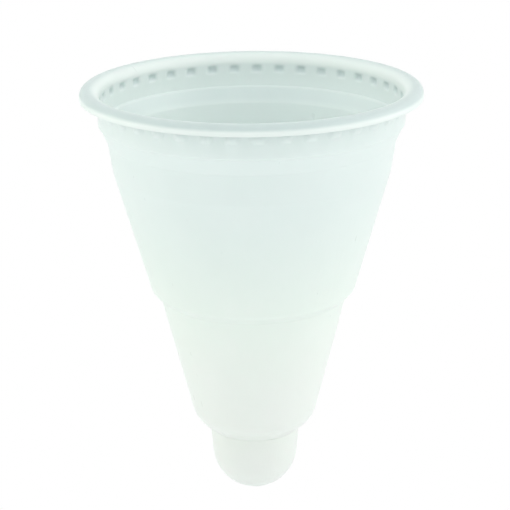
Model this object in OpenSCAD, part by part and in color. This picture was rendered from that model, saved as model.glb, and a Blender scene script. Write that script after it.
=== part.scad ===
// One-piece cone cup of thin plastic. It stands upside down on its lip, with its tip at the top.
// Lengths are in millimetres, angles in degrees. Heights run up from the lip's crest at z = 0.

/* [Wall] */
// Thickness of the plastic, the same all over
wall = 0.4; // [0.3:0.05:0.6]

/* [Lip] */
// Outer diameter of the lip
lip_d = 70; // [66:0.5:80]
// Radius of the round between the lip's crest and its hanging edge
lip_round = 1.45; // [1:0.05:2]
// Width of the flat ring on the lip's crest
crest_flat = 0.5; // [0.3:0.1:2]
// Radius of the round between the lip's crest and the neck
neck_round = 2.05; // [1:0.05:3]
// How far the lip's edge hangs back from its crest
lip_drop = 2.1; // [2.1:0.1:4]

/* [Neck] */
// Height from the lip's crest to the foot of the straight neck
neck_h = 7.4; // [6.5:0.1:12]
// Width of the fine ledge under the neck
ledge_w = 0.35; // [0.2:0.05:0.8]
// Height of the fine ledge under the neck
ledge_h = 0.25; // [0.15:0.05:0.6]

/* [Stacking pockets] */
// Number of pockets round the neck
pocket_count = 39; // [24:1:44]
// Width of a pocket's mouth
pocket_w = 2.4; // [1.6:0.1:3.2]
// Height of a pocket's mouth
pocket_h = 1.75; // [1.2:0.05:2.2]
// Depth of a pocket, outwards from the neck's inner face
pocket_depth = 0.5; // [0.4:0.05:0.7]
// Gap between the lip's round and a pocket's mouth
pocket_gap = 0.5; // [0.4:0.05:0.8]

/* [Body] */
// Height of the slanting shoulder
shoulder_h = 3.3; // [2:0.1:6]
// Slope of the slanting shoulder from upright
shoulder_taper = 23.5; // [15:0.5:35]
// Height of the stacking band
band_h = 6.3; // [4:0.1:9]
// Slope of the stacking band from upright
band_taper = 8.2; // [2:0.1:12]
// Height of the upper cone
upper_h = 25.8; // [20:0.1:30]
// Slope of the upper cone from upright
upper_taper = 15.5; // [12:0.1:17]
// Height of the step between the cones
step_h = 1.7; // [1.2:0.1:3]
// Slope of the step from upright
step_taper = 47; // [30:0.5:55]
// Height of the lower cone
lower_h = 27.9; // [22:0.1:32]
// Slope of the lower cone from upright
lower_taper = 13.75; // [11:0.25:15]

/* [Tip] */
// Height of the rounded shoulder above the tip
foot_h = 2.75; // [2:0.05:4]
// Diameter of the ball-shaped end
tip_d = 18.3; // [14:0.1:19]
// Height of the tip, from the rounded shoulder to the very end
tip_h = 14.6; // [11:0.1:20]
// Slope of the tip's side from upright
tip_taper = 5; // [2:0.5:8]

/* [Rounded corners] */
// Outside radius of the corner at the neck's foot
neck_foot_round = 0.4; // [0.3:0.05:0.45]
// Outside radius of the corner between the band and the upper cone
band_round = 4; // [1:0.5:8]
// Outside radius of the corner above the step
step_round = 1.5; // [0.5:0.1:1.8]
// Outside radius of the shoulder above the tip
foot_round = 6; // [2:0.1:6]
// Outside radius in the hollow corners
hollow_round = 0.3; // [0.1:0.05:0.4]

/* [Hidden] */

plastic = [0.86, 0.93, 0.91, 0.8];
smooth = 180;
// Largest angle between two neighbouring points of a round corner, and of the ball-shaped end
corner_step = 9;
dome_step = 5;
// How much further out the ball that ends a pocket sideways reaches than the pocket's floor
pocket_end = 0.1;

lip_r = lip_d / 2;
neck_in_r = lip_r - lip_round - crest_flat - neck_round;
neck_r = neck_in_r + wall;

// Heights of the corners, each counted from the one before
ledge_z = neck_h + ledge_h;
shoulder_z = ledge_z + shoulder_h;
band_z = shoulder_z + band_h;
upper_z = band_z + upper_h;
step_z = upper_z + step_h;
lower_z = step_z + lower_h;
foot_z = lower_z + foot_h;
cup_h = foot_z + tip_h;

// Outer radii of the same corners
ledge_r = neck_r - ledge_w;
shoulder_r = ledge_r - shoulder_h * tan(shoulder_taper);
band_r = shoulder_r - band_h * tan(band_taper);
upper_r = band_r - upper_h * tan(upper_taper);
step_r = upper_r - step_h * tan(step_taper);
lower_r = step_r - lower_h * tan(lower_taper);

// The ball-shaped end, and where the tip's side runs into it
dome_r = tip_d / 2;
dome_z = cup_h - dome_r;
dome_join = [dome_r * cos(tip_taper), dome_z + dome_r * sin(tip_taper)];
foot_r = dome_join[0] + (dome_join[1] - foot_z) * tan(tip_taper);

// Corners of the wall's outer face as [radius, height, radius of the round],
// from the lip's edge over its crest and up to the tip
outer_corners = [
    [lip_r - wall, lip_drop, 0],
    [lip_r - wall, wall, lip_round - wall],
    [neck_r, wall, neck_round - wall],
    [neck_r, neck_h, neck_foot_round],
    [ledge_r, ledge_z, hollow_round / 3],
    [shoulder_r, shoulder_z, hollow_round],
    [band_r, band_z, band_round],
    [upper_r, upper_z, step_round],
    [step_r, step_z, hollow_round],
    [lower_r, lower_z, foot_round],
    [foot_r, foot_z, hollow_round],
    [dome_join[0], dome_join[1], 0],
];

function flat(c) = [c[0], c[1]];
function heading(a, b) = (flat(b) - flat(a)) / norm(flat(b) - flat(a));
function left_of(u) = [-u[1], u[0]];
function turned(v, angle) = [v[0] * cos(angle) - v[1] * sin(angle), v[0] * sin(angle) + v[1] * cos(angle)];
// Angle from heading u to heading v, positive when it bends to the left
function bend(u, v) = atan2(u[0] * v[1] - u[1] * v[0], u * v);
function backwards(list) = [for (i = [len(list) - 1:-1:0]) list[i]];

// Points of one rounded corner
function corner_arc(a, c, b) =
    let (
        u = heading(a, c),
        angle = bend(u, heading(c, b)),
        start = flat(c) - u * c[2] * tan(abs(angle) / 2),
        centre = start + left_of(u) * c[2] * sign(angle),
        steps = max(2, ceil(abs(angle) / corner_step))
    )
    [for (k = [0:steps]) centre + turned(start - centre, angle * k / steps)];

// Points of a whole path of corners, rounded where a corner has a radius
function rounded(path) = [
    for (i = [0:len(path) - 1])
        each (path[i][2] > 0 ? corner_arc(path[i - 1], path[i], path[i + 1]) : [flat(path[i])])
];

// One corner moved to the wall's other face: a left bend's round shrinks, a right bend's grows
function moved_corner(a, c, b, gap) =
    let (
        u = heading(a, c),
        v = heading(c, b),
        along = (left_of(u) + left_of(v)) / (1 + left_of(u) * left_of(v)),
        point = flat(c) + along * gap,
        radius = bend(u, v) > 0 ? max(c[2] - gap, 0) : c[2] + gap
    )
    [point[0], point[1], radius];

// A path moved to the wall's other face, with its two ends moved straight across
function moved(path, gap) =
    let (
        last = len(path) - 1,
        first_point = flat(path[0]) + left_of(heading(path[0], path[1])) * gap,
        last_point = flat(path[last]) + left_of(heading(path[last - 1], path[last])) * gap
    )
    [
        [first_point[0], first_point[1], 0],
        for (i = [1:last - 1]) moved_corner(path[i - 1], path[i], path[i + 1], gap),
        [last_point[0], last_point[1], 0]
    ];

// Quarter section of the ball-shaped end, from the tip's side to the axis
function dome_arc(radius) =
    let (steps = ceil((90 - tip_taper) / dome_step))
    [
        for (k = [1:steps])
            let (angle = tip_taper + (90 - tip_taper) * k / steps)
            k == steps ? [0, dome_z + radius] : [radius * cos(angle), dome_z + radius * sin(angle)]
    ];

// Radius of the ball whose cap has this width and depth
function cap_radius(width, depth) = (width * width / 4 + depth * depth) / (2 * depth);

// The wall in section: its outer face one way, its inner face back
module wall_section() {
    polygon(concat(
        rounded(outer_corners),
        dome_arc(dome_r),
        backwards(dome_arc(dome_r - wall)),
        backwards(rounded(moved(outer_corners, wall)))
    ));
}

// The pockets as solids: a round bead about the neck, kept only where a ball meets it.
// skin is what the wall adds to them on the outside.
module pocket_solids(skin) {
    pocket_z = neck_round + pocket_gap + pocket_h / 2;
    bead_r = cap_radius(pocket_h, pocket_depth);
    bead_at = neck_in_r + pocket_depth - bead_r;
    ball_depth = pocket_depth + pocket_end;
    ball_r = cap_radius(pocket_w, ball_depth);
    ball_at = neck_in_r + ball_depth - ball_r;
    intersection() {
        rotate_extrude($fn = smooth)
            translate([bead_at, pocket_z])
                circle(r = bead_r + skin, $fn = smooth / 4);
        for (k = [0:pocket_count - 1])
            rotate([0, 0, (k + 0.5) * 360 / pocket_count])
                translate([ball_at, 0, pocket_z])
                    sphere(r = ball_r + skin, $fn = smooth / 4);
    }
}

// The outside of the pockets, from the middle of the neck's wall outwards
module pocket_shells() {
    difference() {
        pocket_solids(wall);
        cylinder(h = neck_h, r = neck_in_r + wall / 2, $fn = smooth);
    }
}

// The whole cup: the turned wall with its ring of pockets
module cup() {
    color(plastic)
        difference() {
            union() {
                rotate_extrude($fn = smooth)
                    wall_section();
                pocket_shells();
            }
            pocket_solids(0);
        }
}

cup();
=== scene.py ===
from math import atan2, ceil, cos, hypot, pi, radians, sin, tan

import bpy
from mathutils import Matrix, Vector


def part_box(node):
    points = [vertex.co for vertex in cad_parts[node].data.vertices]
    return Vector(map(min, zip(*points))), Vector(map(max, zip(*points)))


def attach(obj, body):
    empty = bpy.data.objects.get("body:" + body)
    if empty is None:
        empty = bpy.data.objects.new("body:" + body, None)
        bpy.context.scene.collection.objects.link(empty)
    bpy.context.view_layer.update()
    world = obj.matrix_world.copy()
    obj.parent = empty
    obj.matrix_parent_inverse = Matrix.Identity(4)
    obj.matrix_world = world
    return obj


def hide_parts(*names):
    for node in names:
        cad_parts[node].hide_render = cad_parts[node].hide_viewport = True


bl_info = {
    "name": "Plastic cone cup",
    "version": (1, 0, 0),
    "blender": (4, 5, 0),
    "location": "3D View > Sidebar > Cone Cup",
    "description": "A one-piece cone cup of thin milky plastic, stood upside down on its lip",
    "category": "Add Mesh",
}

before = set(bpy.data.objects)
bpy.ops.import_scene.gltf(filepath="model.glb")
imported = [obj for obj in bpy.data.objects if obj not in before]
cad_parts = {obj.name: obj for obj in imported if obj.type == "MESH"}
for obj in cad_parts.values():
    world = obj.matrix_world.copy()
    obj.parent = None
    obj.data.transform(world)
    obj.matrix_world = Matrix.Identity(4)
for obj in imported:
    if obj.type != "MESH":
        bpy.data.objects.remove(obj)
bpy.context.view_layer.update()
CUP_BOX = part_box("cup")
MM = 0.001

# The render's side in pixels, and the camera's sensor in millimetres
PICTURE = 510
SENSOR = 36

# How finely the wall's section is drawn. Rounds smaller than SMALL get the coarse step.
CORNER_STEP = radians(12)
COARSE_STEP = radians(30)
SMALL = 0.3 * MM
DOME_STEP = radians(7)
POCKET_ROWS = 11
# Share of the gap beside the pockets that is left out of their rows
ROW_MARGIN = 0.3
# A long straight stretch gets a row this close to each end, so that a round's shading stays in it
GUARD = 0.15 * MM
LONG = 1.2 * MM
# Points of the section closer than this are joined
JOIN = 0.001 * MM
# Names of the mesh's own records: how far each point is pressed out of the neck, in walls,
# and whether it lies on the wall's inner face
POCKET_SHARE = "pocket_share"
INNER_FACE = "inner_face"

# Where the colour along the cup starts and stops changing, as shares of its height: the plastic grows
# yellower, and painted light makes it paler, towards the tip
TIP_BLEND_START = 0.15
TIP_BLEND_END = 0.8
# Where the lip's paler colour, painted light, gives way to the neck's, in radii of the neck's round
LIP_FADE_START = 0.8
LIP_FADE_END = 1.3
# Where the painted shade on the crest starts to give way, in radii of the lip's round
CREST_FADE_START = 0.45
# How far in from its middle the crest's painted shade starts, in widths of its flat
CREST_REACH = 4

# Patterns in the plastic, as features per metre and levels of finer detail.
# The draw marks have their features per radian round the cup.
CLOUD_SCALE = 70
CLOUD_DETAIL = 3
MARK_SCALE = 22
MARK_DETAIL = 2
GRAIN_SCALE = 2600
GRAIN_DETAIL = 2
# A metre along the cup counts as this many radians round it in the draw marks
MARK_LIFT = 12
# How far the draw marks change the roughness, and how much higher they stand than the grain
MARK_ROUGHNESS = 0.1
MARK_RELIEF = 4
BUMP_STRENGTH = 0.12
BUMP_HEIGHT = 0.03 * MM
PLASTIC_IOR = 1.49
# How far red, green and blue light scatter in the plastic, against the scatter depth
SCATTER_REACH = (1.0, 1.1, 1.05)

# The floor fades from its own colour to white between these distances from the cup
FLOOR_COLOUR = (0.87, 0.88, 0.88, 1)
FADE_START = 0.12
FADE_END = 0.6
AMBIENT_COLOUR = (0.945, 1, 0.98, 1)
WHITE = (1, 1, 1, 1)
# The lamps aim at this height on the cup's axis
AIM_HEIGHT = 35 * MM
CLIP_START = 0.01
CLIP_END = 20


def length_prop(name, text, metres):
    """A size, kept in metres."""
    return bpy.props.FloatProperty(
        name=name, description=text, default=metres, min=0.0, unit="LENGTH", precision=5
    )


def angle_prop(name, text, degrees):
    """An angle."""
    return bpy.props.FloatProperty(
        name=name, description=text, default=radians(degrees), subtype="ANGLE"
    )


def count_prop(name, text, count, least):
    """A whole number."""
    return bpy.props.IntProperty(name=name, description=text, default=count, min=least)


def share_prop(name, text, share):
    """A plain number, mostly from 0 to 1."""
    return bpy.props.FloatProperty(name=name, description=text, default=share, min=0.0, precision=3)


def power_prop(name, text, watts):
    """The power of a lamp."""
    return bpy.props.FloatProperty(name=name, description=text, default=watts, min=0.0, unit="POWER")


def colour_prop(name, text, colour):
    """A colour in linear light."""
    return bpy.props.FloatVectorProperty(
        name=name, description=text, default=colour, size=3, min=0.0, max=1.0, subtype="COLOR"
    )


class ConeCupSizes(bpy.types.PropertyGroup):
    """Sizes of the cup's turned wall. Heights run up from the lip's crest."""

    lip_d: length_prop("Lip diameter", "Outer diameter of the lip", CUP_BOX[1].x - CUP_BOX[0].x)
    cup_h: length_prop("Height", "Height from the lip's crest to the end of the tip", CUP_BOX[1].z)
    wall: length_prop("Wall", "Thickness of the plastic", 0.4 * MM)
    lip_round: length_prop("Lip round", "Radius between the lip's crest and its hanging edge", 1.45 * MM)
    crest_flat: length_prop("Crest flat", "Width of the flat ring on the lip's crest", 0.5 * MM)
    neck_round: length_prop("Neck round", "Radius between the lip's crest and the neck", 2.05 * MM)
    lip_drop: length_prop("Lip drop", "How far the lip's edge hangs back from its crest", 2.1 * MM)
    edge_round: length_prop("Edge round", "Radius along the lip's cut edge", 0.12 * MM)
    neck_h: length_prop("Neck height", "From the lip's crest to the foot of the neck", 7.4 * MM)
    ledge_w: length_prop("Ledge width", "Width of the fine ledge under the neck", 0.35 * MM)
    ledge_h: length_prop("Ledge height", "Height of the fine ledge under the neck", 0.25 * MM)
    shoulder_h: length_prop("Shoulder height", "Height of the slanting shoulder", 3.3 * MM)
    shoulder_taper: angle_prop("Shoulder slope", "Slope of the slanting shoulder from upright", 23.5)
    band_h: length_prop("Band height", "Height of the stacking band", 6.3 * MM)
    band_taper: angle_prop("Band slope", "Slope of the stacking band from upright", 8.2)
    upper_h: length_prop("Upper cone height", "Height of the upper cone", 25.8 * MM)
    upper_taper: angle_prop("Upper cone slope", "Slope of the upper cone from upright", 15.5)
    step_h: length_prop("Step height", "Height of the step between the cones", 1.7 * MM)
    step_taper: angle_prop("Step slope", "Slope of the step from upright", 47)
    lower_h: length_prop("Lower cone height", "Height of the lower cone", 27.9 * MM)
    lower_taper: angle_prop("Lower cone slope", "Slope of the lower cone from upright", 13.75)
    foot_h: length_prop("Tip shoulder height", "Height of the rounded shoulder above the tip", 2.75 * MM)
    tip_d: length_prop("Tip diameter", "Diameter of the ball-shaped end", 18.3 * MM)
    tip_taper: angle_prop("Tip slope", "Slope of the tip's side from upright", 5)
    neck_foot_round: length_prop("Neck foot round", "Outside radius at the neck's foot", 0.4 * MM)
    band_round: length_prop("Band round", "Outside radius between the band and the upper cone", 4 * MM)
    step_round: length_prop("Step round", "Outside radius above the step", 1.5 * MM)
    foot_round: length_prop("Tip shoulder round", "Outside radius of the shoulder above the tip", 6 * MM)
    hollow_round: length_prop("Hollow round", "Outside radius in the hollow corners", 0.3 * MM)


class PocketSizes(bpy.types.PropertyGroup):
    """Sizes of the ring of stacking pockets."""

    count: count_prop("Pockets", "Number of pockets round the neck", 39, 3)
    width: length_prop("Pocket width", "Width of a pocket's mouth", 2.4 * MM)
    height: length_prop("Pocket height", "Height of a pocket's mouth", 1.75 * MM)
    depth: length_prop("Pocket depth", "Depth of a pocket, outwards from the neck's inner face", 0.5 * MM)
    end: length_prop("Pocket end", "How much further out a pocket's rounded ends reach", 0.1 * MM)
    gap: length_prop("Pocket gap", "Gap between the lip's round and a pocket's mouth", 0.5 * MM)
    facets: count_prop("Facets per pocket", "Mesh faces round the cup for each pocket", 12, 4)


class PlasticLook(bpy.types.PropertyGroup):
    """Finish of the milky plastic, with painted shade and painted light in some of its colours."""

    colour: colour_prop("Neck colour", "Colour of the plastic at the neck", (0.73, 0.78, 0.78))
    # Painted light: the tip's colour is paler than the neck's to stand in for light, and its yellower
    # tint is the plastic's
    tip_tint_and_light: colour_prop("Tip tint and light", "Colour of the plastic at the tip", (0.895, 1.0, 0.87))
    # Painted shade inside the shoulder, darker than the plastic
    shoulder_painted_shade: colour_prop("Shoulder painted shade", "Colour inside the shoulder", (0.69, 0.74, 0.745))
    # Painted shade on the lip's crest, darker than the plastic
    crest_painted_shade: colour_prop("Crest painted shade", "Colour on the lip's crest", (0.59, 0.64, 0.645))
    # Painted light round the lip's crest, paler than the plastic
    rim_painted_light: colour_prop("Rim painted light", "Colour of the lip round its crest", (0.82, 0.875, 0.855))
    # Painted shade in the pockets' hollows, darker than the plastic
    pocket_painted_shade: colour_prop("Pocket painted shade", "Colour in the pockets", (0.62, 0.665, 0.675))
    cloud: share_prop("Cloudiness", "How much the colour varies over the plastic", 0.07)
    roughness: share_prop("Roughness", "Roughness of the satin surface", 0.3)
    scatter: share_prop("Scatter", "Share of light that scatters through the wall", 1.0)
    depth: length_prop("Scatter depth", "How far light scatters inside the plastic", 1.0 * MM)


class StageLook(bpy.types.PropertyGroup):
    """Floor, light and camera."""

    ambient: share_prop("Ambient light", "Strength of the even light from all round", 0.93)
    right_power: power_prop("Right lamp", "Soft lamp on the picture's right", 2.2)
    left_power: power_prop("Left lamp", "Soft lamp on the picture's left", 1.6)
    front_power: power_prop("Front lamp", "Soft lamp on the camera's side, below the lip's level", 0.4)
    top_power: power_prop("Top lamp", "Soft lamp above the tip", 0.3)
    lamp_size: length_prop("Lamp size", "Side of each square lamp", 0.9)
    lamp_distance: length_prop("Lamp distance", "From each lamp to the cup", 0.9)
    floor_size: length_prop("Floor size", "Side of the square floor", 6)
    camera_distance: length_prop("Camera distance", "From the camera to the middle of the lip", 0.3192)
    camera_tilt: angle_prop("Camera tilt", "How far the camera looks into the mouth", 12.64)
    camera_roll: angle_prop("Camera roll", "How far the picture is turned", 0.6)
    focal_pixels: share_prop("Focal length", "Focal length in pixels of the picture", 1559)
    rim_x: share_prop("Rim across", "Pixel column of the lip's middle in the picture", 251.3)
    rim_y: share_prop("Rim down", "Pixel row of the lip's middle in the picture", 84.1)


def heading(a, b):
    """Unit vector from point a to point b of the section."""
    u, v = b[0] - a[0], b[1] - a[1]
    size = hypot(u, v)
    return u / size, v / size


def bend(u, v):
    """Angle from heading u to heading v, positive when it bends to the left."""
    return atan2(u[0] * v[1] - u[1] * v[0], u[0] * v[0] + u[1] * v[1])


def corner_arc(a, c, b):
    """Points of the round at corner c, which lies between corners a and b."""
    radius = c[2]
    u = heading(a, c)
    angle = bend(u, heading(c, b))
    side = 1 if angle > 0 else -1
    back = radius * tan(abs(angle) / 2)
    start = (c[0] - u[0] * back, c[1] - u[1] * back)
    centre = (start[0] - u[1] * radius * side, start[1] + u[0] * radius * side)
    spoke = (start[0] - centre[0], start[1] - centre[1])
    steps = max(2, ceil(abs(angle) / (COARSE_STEP if radius < SMALL else CORNER_STEP)))
    points = []
    for k in range(steps + 1):
        q = angle * k / steps
        x = centre[0] + spoke[0] * cos(q) - spoke[1] * sin(q)
        y = centre[1] + spoke[0] * sin(q) + spoke[1] * cos(q)
        points.append((x, y))
    return points


def rounded(path):
    """Points of a whole path of corners (radius, height, round)."""
    points = []
    for i, corner in enumerate(path):
        if corner[2] > 0:
            points += corner_arc(path[i - 1], corner, path[i + 1])
        else:
            points.append(corner[:2])
    return points


def moved(path, gap):
    """The path moved left by gap: a left bend's round shrinks, a right bend's grows."""
    last = len(path) - 1
    out = []
    for i, corner in enumerate(path):
        u = heading(path[max(i, 1) - 1], path[max(i, 1)])
        v = heading(path[min(i, last - 1)], path[min(i, last - 1) + 1])
        left_u, left_v = (-u[1], u[0]), (-v[1], v[0])
        spread = 1 + left_u[0] * left_v[0] + left_u[1] * left_v[1]
        x = corner[0] + gap * (left_u[0] + left_v[0]) / spread
        y = corner[1] + gap * (left_u[1] + left_v[1]) / spread
        if i in (0, last):
            radius = corner[2]
        elif bend(u, v) > 0:
            radius = max(corner[2] - gap, gap / 4)
        else:
            radius = corner[2] + gap
        out.append((x, y, radius))
    return out


def outer_corners(s):
    """Corners of the wall's outer face, from the lip's edge over its crest and up to the tip."""
    lip_r = s.lip_d / 2
    neck_r = neck_inner_radius(s) + s.wall
    dome_r = s.tip_d / 2
    join_r = dome_r * cos(s.tip_taper)
    join_z = s.cup_h - dome_r + dome_r * sin(s.tip_taper)
    r = neck_r - s.ledge_w
    z = s.neck_h + s.ledge_h
    corners = [
        (lip_r - s.wall, s.lip_drop, s.edge_round),
        (lip_r - s.wall, s.wall, s.lip_round - s.wall),
        (neck_r, s.wall, s.neck_round - s.wall),
        (neck_r, s.neck_h, s.neck_foot_round),
        (r, z, s.hollow_round / 3),
    ]
    spans = [
        (s.shoulder_h, s.shoulder_taper, s.hollow_round),
        (s.band_h, s.band_taper, s.band_round),
        (s.upper_h, s.upper_taper, s.step_round),
        (s.step_h, s.step_taper, s.hollow_round),
        (s.lower_h, s.lower_taper, s.foot_round),
    ]
    for height, taper, round_at_end in spans:
        r -= height * tan(taper)
        z += height
        corners.append((r, z, round_at_end))
    foot_z = z + s.foot_h
    foot_r = join_r + (join_z - foot_z) * tan(s.tip_taper)
    corners.append((foot_r, foot_z, s.hollow_round))
    corners.append((join_r, join_z, 0))
    return corners


def neck_inner_radius(s):
    """Radius of the neck's inner face."""
    return s.lip_d / 2 - s.lip_round - s.crest_flat - s.neck_round


def dome_arc(s, radius):
    """Quarter section of the ball-shaped end, from the tip's side to the axis."""
    dome_z = s.cup_h - s.tip_d / 2
    sweep = pi / 2 - s.tip_taper
    steps = ceil(sweep / DOME_STEP)
    angles = [s.tip_taper + sweep * k / steps for k in range(1, steps)]
    points = [(radius * cos(q), dome_z + radius * sin(q)) for q in angles]
    return points + [(0.0, dome_z + radius)]


def pocket_levels(s, p):
    """Heights of the rows that draw the pockets, from just below them to just above."""
    low = s.neck_round + p.gap * ROW_MARGIN
    high = s.neck_round + p.gap * (2 - ROW_MARGIN) + p.height
    return [low + (high - low) * k / POCKET_ROWS for k in range(POCKET_ROWS + 1)]


def guarded(points, levels):
    """Adds the pockets' rows to the neck, and a row close to both ends of each long straight stretch."""
    out = [points[0]]
    for a, b in zip(points[:-1], points[1:]):
        size = hypot(b[0] - a[0], b[1] - a[1])
        if min(a[1], b[1]) < levels[0] and max(a[1], b[1]) > levels[-1] and abs(a[0] - b[0]) < JOIN:
            out += [(a[0], z) for z in (levels if a[1] < b[1] else levels[::-1])]
        elif size > LONG:
            u = heading(a, b)
            out.append((a[0] + u[0] * GUARD, a[1] + u[1] * GUARD))
            out.append((b[0] - u[0] * GUARD, b[1] - u[1] * GUARD))
        out.append(b)
    return out


def wall_section(s, p):
    """The wall in section: down its inner face from the tip to the lip, and back up its outer face."""
    outer = outer_corners(s)
    inner = moved(outer, s.wall)
    dome_r = s.tip_d / 2
    points = dome_arc(s, dome_r - s.wall)[::-1]
    points += rounded(inner[::-1] + outer)
    points += dome_arc(s, dome_r)
    return guarded(points, pocket_levels(s, p))


def new_node(tree, kind, **settings):
    """Adds a node with these settings."""
    node = tree.nodes.new(kind)
    for name, value in settings.items():
        setattr(node, name, value)
    return node


def feed(tree, socket, value):
    """Links value to the socket, or writes it there if it's a plain value."""
    if isinstance(value, bpy.types.NodeSocket):
        tree.links.new(value, socket)
    else:
        socket.default_value = value


def calc(tree, operation, *values):
    """The result of one Math node."""
    node = new_node(tree, "ShaderNodeMath", operation=operation)
    for socket, value in zip(node.inputs, values):
        feed(tree, socket, value)
    return node.outputs[0]


def whole(tree, operation, *values):
    """The result of one Integer Math node."""
    node = new_node(tree, "FunctionNodeIntegerMath", operation=operation)
    for socket, value in zip(node.inputs, values):
        feed(tree, socket, value)
    return node.outputs[0]


def cap_radius(width, depth):
    """Radius of the ball whose cap has this width and depth."""
    return (width * width / 4 + depth * depth) / (2 * depth)


def turned_wall_tree():
    """Geometry nodes that turn a section about the axis and press a ring of pockets out of its neck."""
    tree = bpy.data.node_groups.new("Turned wall with pockets", "GeometryNodeTree")
    face = tree.interface
    face.new_socket("Section", in_out="INPUT", socket_type="NodeSocketGeometry")
    face.new_socket("Facets", in_out="INPUT", socket_type="NodeSocketInt")
    face.new_socket("Pockets", in_out="INPUT", socket_type="NodeSocketInt")
    for name in ("Pocket level", "Neck inner radius", "Wall"):
        face.new_socket(name, in_out="INPUT", socket_type="NodeSocketFloat")
    for name in ("Bead radius", "Bead centre", "Ball radius", "Ball centre"):
        face.new_socket(name, in_out="INPUT", socket_type="NodeSocketFloat")
    face.new_socket("Plastic", in_out="INPUT", socket_type="NodeSocketMaterial")
    face.new_socket("Cup", in_out="OUTPUT", socket_type="NodeSocketGeometry")
    given = new_node(tree, "NodeGroupInput").outputs
    result = new_node(tree, "NodeGroupOutput").inputs

    # A flat grid with one row of points for each point of the section
    count = new_node(tree, "GeometryNodeAttributeDomainSize", component="MESH")
    feed(tree, count.inputs["Geometry"], given["Section"])
    rows = count.outputs["Point Count"]
    grid = new_node(tree, "GeometryNodeMeshGrid")
    feed(tree, grid.inputs["Vertices X"], whole(tree, "ADD", given["Facets"], 1))
    feed(tree, grid.inputs["Vertices Y"], rows)
    index = new_node(tree, "GeometryNodeInputIndex").outputs[0]
    column = whole(tree, "DIVIDE_FLOOR", index, rows)
    row = whole(tree, "MODULO", index, rows)
    sample = new_node(tree, "GeometryNodeSampleIndex", data_type="FLOAT_VECTOR", domain="POINT")
    feed(tree, sample.inputs["Geometry"], given["Section"])
    feed(tree, sample.inputs["Value"], new_node(tree, "GeometryNodeInputPosition").outputs[0])
    feed(tree, sample.inputs["Index"], row)
    point = new_node(tree, "ShaderNodeSeparateXYZ")
    feed(tree, point.inputs[0], sample.outputs[0])
    radius, level = point.outputs["X"], point.outputs["Z"]
    turns = calc(tree, "DIVIDE", column, given["Facets"])
    around = calc(tree, "MULTIPLY", turns, 2 * pi)

    # Where the pocket's bead and ball stand, seen along the radius: the outer face is one wall
    # further out
    pocket_turns = calc(tree, "MULTIPLY", turns, given["Pockets"])
    share = calc(tree, "SUBTRACT", calc(tree, "FRACT", pocket_turns), 0.5)
    angle = calc(tree, "DIVIDE", calc(tree, "MULTIPLY", share, 2 * pi), given["Pockets"])
    rise = calc(tree, "SUBTRACT", level, given["Pocket level"])
    rise_squared = calc(tree, "MULTIPLY", rise, rise)
    middle = calc(tree, "MULTIPLY_ADD", given["Wall"], 0.5, given["Neck inner radius"])
    skin = calc(tree, "MULTIPLY", calc(tree, "GREATER_THAN", radius, middle), given["Wall"])
    bead = calc(tree, "ADD", given["Bead radius"], skin)
    bead_left = calc(tree, "SUBTRACT", calc(tree, "MULTIPLY", bead, bead), rise_squared)
    bead_out = calc(tree, "SQRT", calc(tree, "MAXIMUM", bead_left, 0))
    bead_reach = calc(tree, "ADD", given["Bead centre"], bead_out)
    ball = calc(tree, "ADD", given["Ball radius"], skin)
    aside = calc(tree, "MULTIPLY", given["Ball centre"], calc(tree, "SINE", angle))
    ball_left = calc(tree, "SUBTRACT", calc(tree, "MULTIPLY", ball, ball), rise_squared)
    ball_left = calc(tree, "SUBTRACT", ball_left, calc(tree, "MULTIPLY", aside, aside))
    ball_along = calc(tree, "MULTIPLY", given["Ball centre"], calc(tree, "COSINE", angle))
    ball_out = calc(tree, "SQRT", calc(tree, "MAXIMUM", ball_left, 0))
    ball_reach = calc(tree, "ADD", ball_along, ball_out)
    reach = calc(tree, "MINIMUM", bead_reach, ball_reach)
    near = calc(tree, "LESS_THAN", calc(tree, "ABSOLUTE", rise), bead)
    pressed = calc(tree, "MAXIMUM", radius, calc(tree, "MULTIPLY", reach, near))

    place = new_node(tree, "ShaderNodeCombineXYZ")
    feed(tree, place.inputs["X"], calc(tree, "MULTIPLY", pressed, calc(tree, "COSINE", around)))
    feed(tree, place.inputs["Y"], calc(tree, "MULTIPLY", pressed, calc(tree, "SINE", around)))
    feed(tree, place.inputs["Z"], level)
    wrap = new_node(tree, "GeometryNodeSetPosition")
    feed(tree, wrap.inputs["Geometry"], grid.outputs["Mesh"])
    feed(tree, wrap.inputs["Position"], place.outputs[0])
    # The plastic's material reads how deep each point lies in a pocket, and paints shade there
    note = new_node(tree, "GeometryNodeStoreNamedAttribute", data_type="FLOAT", domain="POINT")
    feed(tree, note.inputs["Geometry"], wrap.outputs[0])
    note.inputs["Name"].default_value = POCKET_SHARE
    pushed = calc(tree, "DIVIDE", calc(tree, "SUBTRACT", pressed, radius), given["Wall"])
    on_inner = calc(tree, "LESS_THAN", radius, middle)
    feed(tree, note.inputs["Value"], calc(tree, "MULTIPLY", pushed, on_inner))
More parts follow.
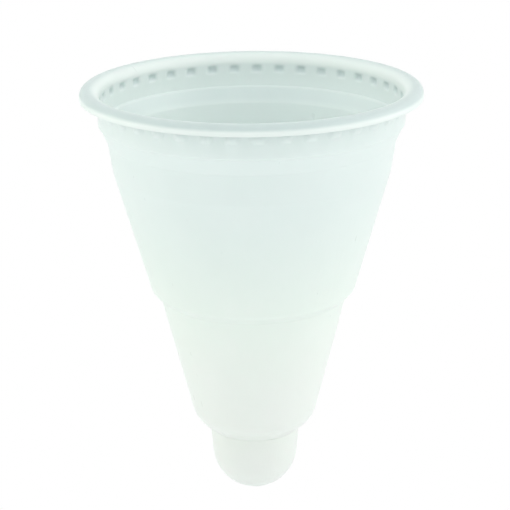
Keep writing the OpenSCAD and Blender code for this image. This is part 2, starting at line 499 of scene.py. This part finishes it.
    # The section runs down the inner face first, and turns at the lip's edge about halfway
    lining = new_node(tree, "GeometryNodeStoreNamedAttribute", data_type="FLOAT", domain="POINT")
    feed(tree, lining.inputs["Geometry"], note.outputs[0])
    lining.inputs["Name"].default_value = INNER_FACE
    halfway = calc(tree, "MULTIPLY", rows, 0.5)
    feed(tree, lining.inputs["Value"], calc(tree, "LESS_THAN", row, halfway))
    close = new_node(tree, "GeometryNodeMergeByDistance")
    feed(tree, close.inputs["Geometry"], lining.outputs[0])
    feed(tree, close.inputs["Distance"], JOIN)
    soften = new_node(tree, "GeometryNodeSetShadeSmooth")
    feed(tree, soften.inputs["Geometry"], close.outputs[0])
    real = new_node(tree, "GeometryNodeRealizeInstances")
    feed(tree, real.inputs[0], soften.outputs[0])
    paint = new_node(tree, "GeometryNodeSetMaterial")
    feed(tree, paint.inputs["Geometry"], real.outputs[0])
    feed(tree, paint.inputs["Material"], given["Plastic"])
    feed(tree, result[0], paint.outputs[0])
    return tree


def set_inputs(modifier, values):
    """Sets the inputs of a Geometry Nodes modifier by their names."""
    for item in modifier.node_group.interface.items_tree:
        if item.item_type == "SOCKET" and item.name in values:
            modifier[item.identifier] = values[item.name]


def soft_zone(tree, value, start, end, rising=True):
    """A share that goes softly from 0 to 1 as value goes from start to end, or from 1 to 0."""
    zone = new_node(tree, "ShaderNodeMapRange", interpolation_type="SMOOTHSTEP")
    feed(tree, zone.inputs["Value"], value)
    zone.inputs["From Min"].default_value = start
    zone.inputs["From Max"].default_value = end
    if not rising:
        zone.inputs["To Min"].default_value = 1
        zone.inputs["To Max"].default_value = 0
    return zone.outputs[0]


def tinted(tree, share, under, over):
    """The colour under, with as much of the colour over as share says."""
    mix = new_node(tree, "ShaderNodeMix", data_type="RGBA")
    feed(tree, mix.inputs["Factor"], share)
    for socket, colour in ((mix.inputs["A"], under), (mix.inputs["B"], over)):
        feed(tree, socket, colour if isinstance(colour, bpy.types.NodeSocket) else (*colour, 1))
    return mix.outputs["Result"]


def noise(tree, vector, scale, detail):
    """Noise that reads the place vector."""
    node = new_node(tree, "ShaderNodeTexNoise", noise_dimensions="3D")
    node.inputs["Scale"].default_value = scale
    node.inputs["Detail"].default_value = detail
    feed(tree, node.inputs["Vector"], vector)
    return node.outputs[0]


def vector_math(tree, operation, *values):
    """One Vector Math node with these inputs."""
    node = new_node(tree, "ShaderNodeVectorMath", operation=operation)
    for socket, value in zip(node.inputs, values):
        feed(tree, socket, value)
    return node


def milky_plastic(look, s):
    """Satin, milky plastic: faint clouds, draw marks from the lip to the tip, and a fine grain, with
    painted shade on the lip's crest, inside the shoulder and in the pockets, and painted light round the
    crest and towards the tip.
    """
    material = bpy.data.materials.new("Milky plastic")
    material.use_nodes = True
    tree = material.node_tree
    shader = tree.nodes["Principled BSDF"]
    spot = new_node(tree, "ShaderNodeTexCoord").outputs["Object"]

    # Where a point lies: its height, and how far it is from the axis
    parts = new_node(tree, "ShaderNodeSeparateXYZ")
    feed(tree, parts.inputs[0], spot)
    height = parts.outputs["Z"]
    flat = vector_math(tree, "MULTIPLY", spot, (1, 1, 0)).outputs[0]
    radius = vector_math(tree, "LENGTH", flat).outputs["Value"]

    # Colour along the cup, from the neck's to the tip's: a yellower tint of the plastic, and painted
    # light that makes the tip paler
    drawn = soft_zone(tree, height, s.cup_h * TIP_BLEND_START, s.cup_h * TIP_BLEND_END)
    colour = tinted(tree, drawn, look.colour, look.tip_tint_and_light)

    # Painted shade: the inner face of the slanting shoulder is darkened, as it faces up into more light
    # than the band
    ledge_z = s.neck_h + s.ledge_h
    shoulder_z = ledge_z + s.shoulder_h
    lining = new_node(tree, "ShaderNodeAttribute", attribute_name=INNER_FACE)
    past_neck = soft_zone(tree, height, s.neck_h, ledge_z + s.ledge_h)
    before_band = soft_zone(tree, height, shoulder_z - s.shoulder_h / 2, shoulder_z, rising=False)
    on_shoulder = calc(tree, "MULTIPLY", past_neck, before_band)
    shoulder_shade_share = calc(tree, "MULTIPLY", on_shoulder, lining.outputs["Fac"])
    colour = tinted(tree, shoulder_shade_share, colour, look.shoulder_painted_shade)

    # The lip: a paler colour up to the neck, which is painted light, and painted shade on its crest
    lip_end = s.neck_round * LIP_FADE_START
    neck_start = s.neck_round * LIP_FADE_END
    past_lip = soft_zone(tree, height, lip_end, neck_start)
    colour = tinted(tree, past_lip, look.rim_painted_light, colour)
    crest_r = s.lip_d / 2 - s.lip_round - s.crest_flat / 2
    outwards = soft_zone(tree, radius, crest_r - s.crest_flat * CREST_REACH, crest_r)
    crest_end = s.lip_round * CREST_FADE_START
    near_crest = soft_zone(tree, height, crest_end, s.lip_round, rising=False)
    crest_shade_share = calc(tree, "MULTIPLY", outwards, near_crest)
    colour = tinted(tree, crest_shade_share, colour, look.crest_painted_shade)

    # Soft clouds over all of it, and painted shade in the hollows of the pockets
    cloud = noise(tree, spot, CLOUD_SCALE, CLOUD_DETAIL)
    cloudy = new_node(tree, "ShaderNodeHueSaturation")
    cloudy_value = calc(tree, "MULTIPLY_ADD", cloud, look.cloud, 1 - look.cloud / 2)
    feed(tree, cloudy.inputs["Value"], cloudy_value)
    feed(tree, cloudy.inputs["Color"], colour)
    pressed = new_node(tree, "ShaderNodeAttribute", attribute_name=POCKET_SHARE)
    colour = tinted(tree, pressed.outputs["Fac"], cloudy.outputs[0], look.pocket_painted_shade)
    feed(tree, shader.inputs["Base Color"], colour)

    # Draw marks: noise that changes quickly round the cup and slowly along it
    spoke = vector_math(tree, "NORMALIZE", flat).outputs[0]
    lift = vector_math(tree, "MULTIPLY_ADD", spot, (0, 0, MARK_LIFT), spoke).outputs[0]
    marks = noise(tree, lift, MARK_SCALE, MARK_DETAIL)
    grain = noise(tree, spot, GRAIN_SCALE, GRAIN_DETAIL)
    smoothest = look.roughness - MARK_ROUGHNESS / 2
    rough = calc(tree, "MULTIPLY_ADD", marks, MARK_ROUGHNESS, smoothest)
    feed(tree, shader.inputs["Roughness"], rough)
    relief = calc(tree, "MULTIPLY_ADD", marks, MARK_RELIEF, grain)
    bump = new_node(tree, "ShaderNodeBump")
    bump.inputs["Strength"].default_value = BUMP_STRENGTH
    bump.inputs["Distance"].default_value = BUMP_HEIGHT
    feed(tree, bump.inputs["Height"], relief)
    feed(tree, shader.inputs["Normal"], bump.outputs[0])

    shader.inputs["IOR"].default_value = PLASTIC_IOR
    shader.inputs["Subsurface Weight"].default_value = look.scatter
    shader.inputs["Subsurface Radius"].default_value = SCATTER_REACH
    shader.inputs["Subsurface Scale"].default_value = look.depth
    return material


class CONECUP_OT_cup(bpy.types.Operator):
    """Builds the cup: its wall turned from one section, with pockets pressed out of its neck"""

    bl_idname = "conecup.cup"
    bl_label = "Cup"

    def execute(self, context):
        s = context.scene.cone_cup_sizes
        p = context.scene.cone_cup_pockets
        material = milky_plastic(context.scene.cone_cup_plastic, s)
        section = [(x, 0, z) for x, z in wall_section(s, p)]
        mesh = bpy.data.meshes.new("cup_section")
        mesh.from_pydata(section, [(i, i + 1) for i in range(len(section) - 1)], [])
        cup = bpy.data.objects.new("cup_wall", mesh)
        context.scene.collection.objects.link(cup)

        inner_r = neck_inner_radius(s)
        bead_r = cap_radius(p.height, p.depth)
        ball_r = cap_radius(p.width, p.depth + p.end)
        turn = cup.modifiers.new("Turned wall", "NODES")
        turn.node_group = turned_wall_tree()
        set_inputs(turn, {
            "Facets": p.count * p.facets,
            "Pockets": p.count,
            "Pocket level": s.neck_round + p.gap + p.height / 2,
            "Neck inner radius": inner_r,
            "Wall": s.wall,
            "Bead radius": bead_r,
            "Bead centre": inner_r + p.depth - bead_r,
            "Ball radius": ball_r,
            "Ball centre": inner_r + p.depth + p.end - ball_r,
            "Plastic": material,
        })
        turned = cup.evaluated_get(context.evaluated_depsgraph_get())
        finished = bpy.data.meshes.new_from_object(turned)
        cup.modifiers.clear()
        cup.data = finished
        bpy.data.meshes.remove(mesh)
        cup.data.name = "cup_wall"
        if not cup.data.polygons:
            raise RuntimeError("the cup's wall came out empty")

        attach(cup, "root")
        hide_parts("cup")
        return {"FINISHED"}


def soft_lamp(context, name, watts, colour, spot, aim, size):
    """A square lamp at spot that looks at aim."""
    data = bpy.data.lights.new(name, "AREA")
    data.energy = watts
    data.color = colour
    data.size = size
    lamp = bpy.data.objects.new(name, data)
    lamp.location = spot
    lamp.rotation_euler = (Vector(aim) - Vector(spot)).to_track_quat("-Z", "Y").to_euler()
    lamp.visible_camera = False
    context.scene.collection.objects.link(lamp)
    return lamp


def pale_floor(context, look):
    """A pale floor. It's clear from below, holds back no light, and fades to white far off."""
    half = look.floor_size / 2
    mesh = bpy.data.meshes.new("floor")
    corners = [(-half, -half, 0), (half, -half, 0), (half, half, 0), (-half, half, 0)]
    mesh.from_pydata(corners, [], [(0, 1, 2, 3)])
    floor = bpy.data.objects.new("floor", mesh)
    context.scene.collection.objects.link(floor)
    floor.visible_shadow = False
    floor.visible_diffuse = False
    floor.visible_glossy = False
    floor.visible_transmission = False

    material = bpy.data.materials.new("Pale floor")
    material.use_nodes = True
    tree = material.node_tree
    tree.nodes.clear()
    spot = new_node(tree, "ShaderNodeTexCoord").outputs["Object"]
    away = vector_math(tree, "LENGTH", spot).outputs["Value"]
    fade = soft_zone(tree, away, FADE_START, FADE_END)
    matt = new_node(tree, "ShaderNodeBsdfDiffuse")
    matt.inputs["Color"].default_value = FLOOR_COLOUR
    white = new_node(tree, "ShaderNodeEmission")
    clear = new_node(tree, "ShaderNodeBsdfTransparent")
    far = new_node(tree, "ShaderNodeMixShader")
    feed(tree, far.inputs[0], fade)
    feed(tree, far.inputs[1], matt.outputs[0])
    feed(tree, far.inputs[2], white.outputs[0])
    side = new_node(tree, "ShaderNodeMixShader")
    feed(tree, side.inputs[0], new_node(tree, "ShaderNodeNewGeometry").outputs["Backfacing"])
    feed(tree, side.inputs[1], far.outputs[0])
    feed(tree, side.inputs[2], clear.outputs[0])
    feed(tree, new_node(tree, "ShaderNodeOutputMaterial").inputs["Surface"], side.outputs[0])
    mesh.materials.append(material)


def white_world(context, look):
    """Even light from all round, in front of a white background."""
    world = bpy.data.worlds.new("Studio")
    context.scene.world = world
    world.use_nodes = True
    tree = world.node_tree
    tree.nodes.clear()
    seen = new_node(tree, "ShaderNodeLightPath").outputs["Is Camera Ray"]
    light = new_node(tree, "ShaderNodeBackground")
    light.inputs["Color"].default_value = AMBIENT_COLOUR
    light.inputs["Strength"].default_value = look.ambient
    backdrop = new_node(tree, "ShaderNodeBackground")
    backdrop.inputs["Color"].default_value = WHITE
    mix = new_node(tree, "ShaderNodeMixShader")
    feed(tree, mix.inputs[0], seen)
    feed(tree, mix.inputs[1], light.outputs[0])
    feed(tree, mix.inputs[2], backdrop.outputs[0])
    feed(tree, new_node(tree, "ShaderNodeOutputWorld").inputs["Surface"], mix.outputs[0])


def photo_camera(context, look):
    """The camera looks into the mouth from below the lip's level, with the tip at the foot."""
    data = bpy.data.cameras.new("Camera")
    data.sensor_width = SENSOR
    data.lens = SENSOR * look.focal_pixels / PICTURE
    data.clip_start = CLIP_START
    data.clip_end = CLIP_END
    camera = bpy.data.objects.new("Camera", data)
    context.scene.collection.objects.link(camera)
    tilt = look.camera_tilt
    back = Vector((0, cos(tilt), -sin(tilt)))
    right = Vector((1, 0, 0))
    up = back.cross(right)
    look_at = Matrix((right, up, back)).transposed()
    aim = Vector((look.rim_x - PICTURE / 2, PICTURE / 2 - look.rim_y, -look.focal_pixels))
    turn = aim.rotation_difference(Vector((0, 0, -1))).to_matrix()
    roll = Matrix.Rotation(-look.camera_roll, 3, "Z")
    place = Matrix.Translation(back * look.camera_distance)
    camera.matrix_world = place @ (look_at @ roll @ turn).to_4x4()
    context.scene.camera = camera


class CONECUP_OT_stage(bpy.types.Operator):
    """Sets up the pale floor, the white surroundings, the soft lamps and the camera"""

    bl_idname = "conecup.stage"
    bl_label = "Stage"

    def execute(self, context):
        look = context.scene.cone_cup_stage
        pale_floor(context, look)
        white_world(context, look)
        middle = Vector((0, 0, AIM_HEIGHT))
        # Each lamp's name, power, colour and direction from the cup
        lamps = [
            ("Right lamp", look.right_power, (1, 0.98, 0.95), (1, 0, -0.35)),
            ("Left lamp", look.left_power, (0.98, 1, 0.8), (-1, 0, -0.2)),
            ("Front lamp", look.front_power, (0.93, 1, 0.93), (0.5, 1, -0.2)),
            ("Top lamp", look.top_power, (1, 1, 1), (0, 0.6, 1)),
        ]
        for name, watts, colour, side in lamps:
            spot = middle + Vector(side).normalized() * look.lamp_distance
            soft_lamp(context, name, watts, colour, spot, middle, look.lamp_size)
        photo_camera(context, look)
        context.scene.view_settings.view_transform = "Standard"
        return {"FINISHED"}


class CONECUP_PT_panel(bpy.types.Panel):
    """Sizes and finishes of the cone cup"""

    bl_label = "Cone Cup"
    bl_idname = "CONECUP_PT_panel"
    bl_space_type = "VIEW_3D"
    bl_region_type = "UI"
    bl_category = "Cone Cup"

    def draw(self, context):
        groups = [
            ("Cup", context.scene.cone_cup_sizes, "conecup.cup"),
            ("Pockets", context.scene.cone_cup_pockets, None),
            ("Plastic", context.scene.cone_cup_plastic, None),
            ("Stage", context.scene.cone_cup_stage, "conecup.stage"),
        ]
        for title, group, operator in groups:
            box = self.layout.box()
            box.label(text=title)
            for name in group.__annotations__:
                box.prop(group, name)
            if operator:
                box.operator(operator)


CLASSES = (
    ConeCupSizes,
    PocketSizes,
    PlasticLook,
    StageLook,
    CONECUP_OT_cup,
    CONECUP_OT_stage,
    CONECUP_PT_panel,
)


def register():
    for item in CLASSES:
        bpy.utils.register_class(item)
    bpy.types.Scene.cone_cup_sizes = bpy.props.PointerProperty(type=ConeCupSizes)
    bpy.types.Scene.cone_cup_pockets = bpy.props.PointerProperty(type=PocketSizes)
    bpy.types.Scene.cone_cup_plastic = bpy.props.PointerProperty(type=PlasticLook)
    bpy.types.Scene.cone_cup_stage = bpy.props.PointerProperty(type=StageLook)


def unregister():
    del bpy.types.Scene.cone_cup_stage
    del bpy.types.Scene.cone_cup_plastic
    del bpy.types.Scene.cone_cup_pockets
    del bpy.types.Scene.cone_cup_sizes
    for item in reversed(CLASSES):
        bpy.utils.unregister_class(item)


def main():
    """Builds everything in order."""
    register()
    bpy.ops.conecup.cup()
    bpy.ops.conecup.stage()


if __name__ == "__main__":
    main()
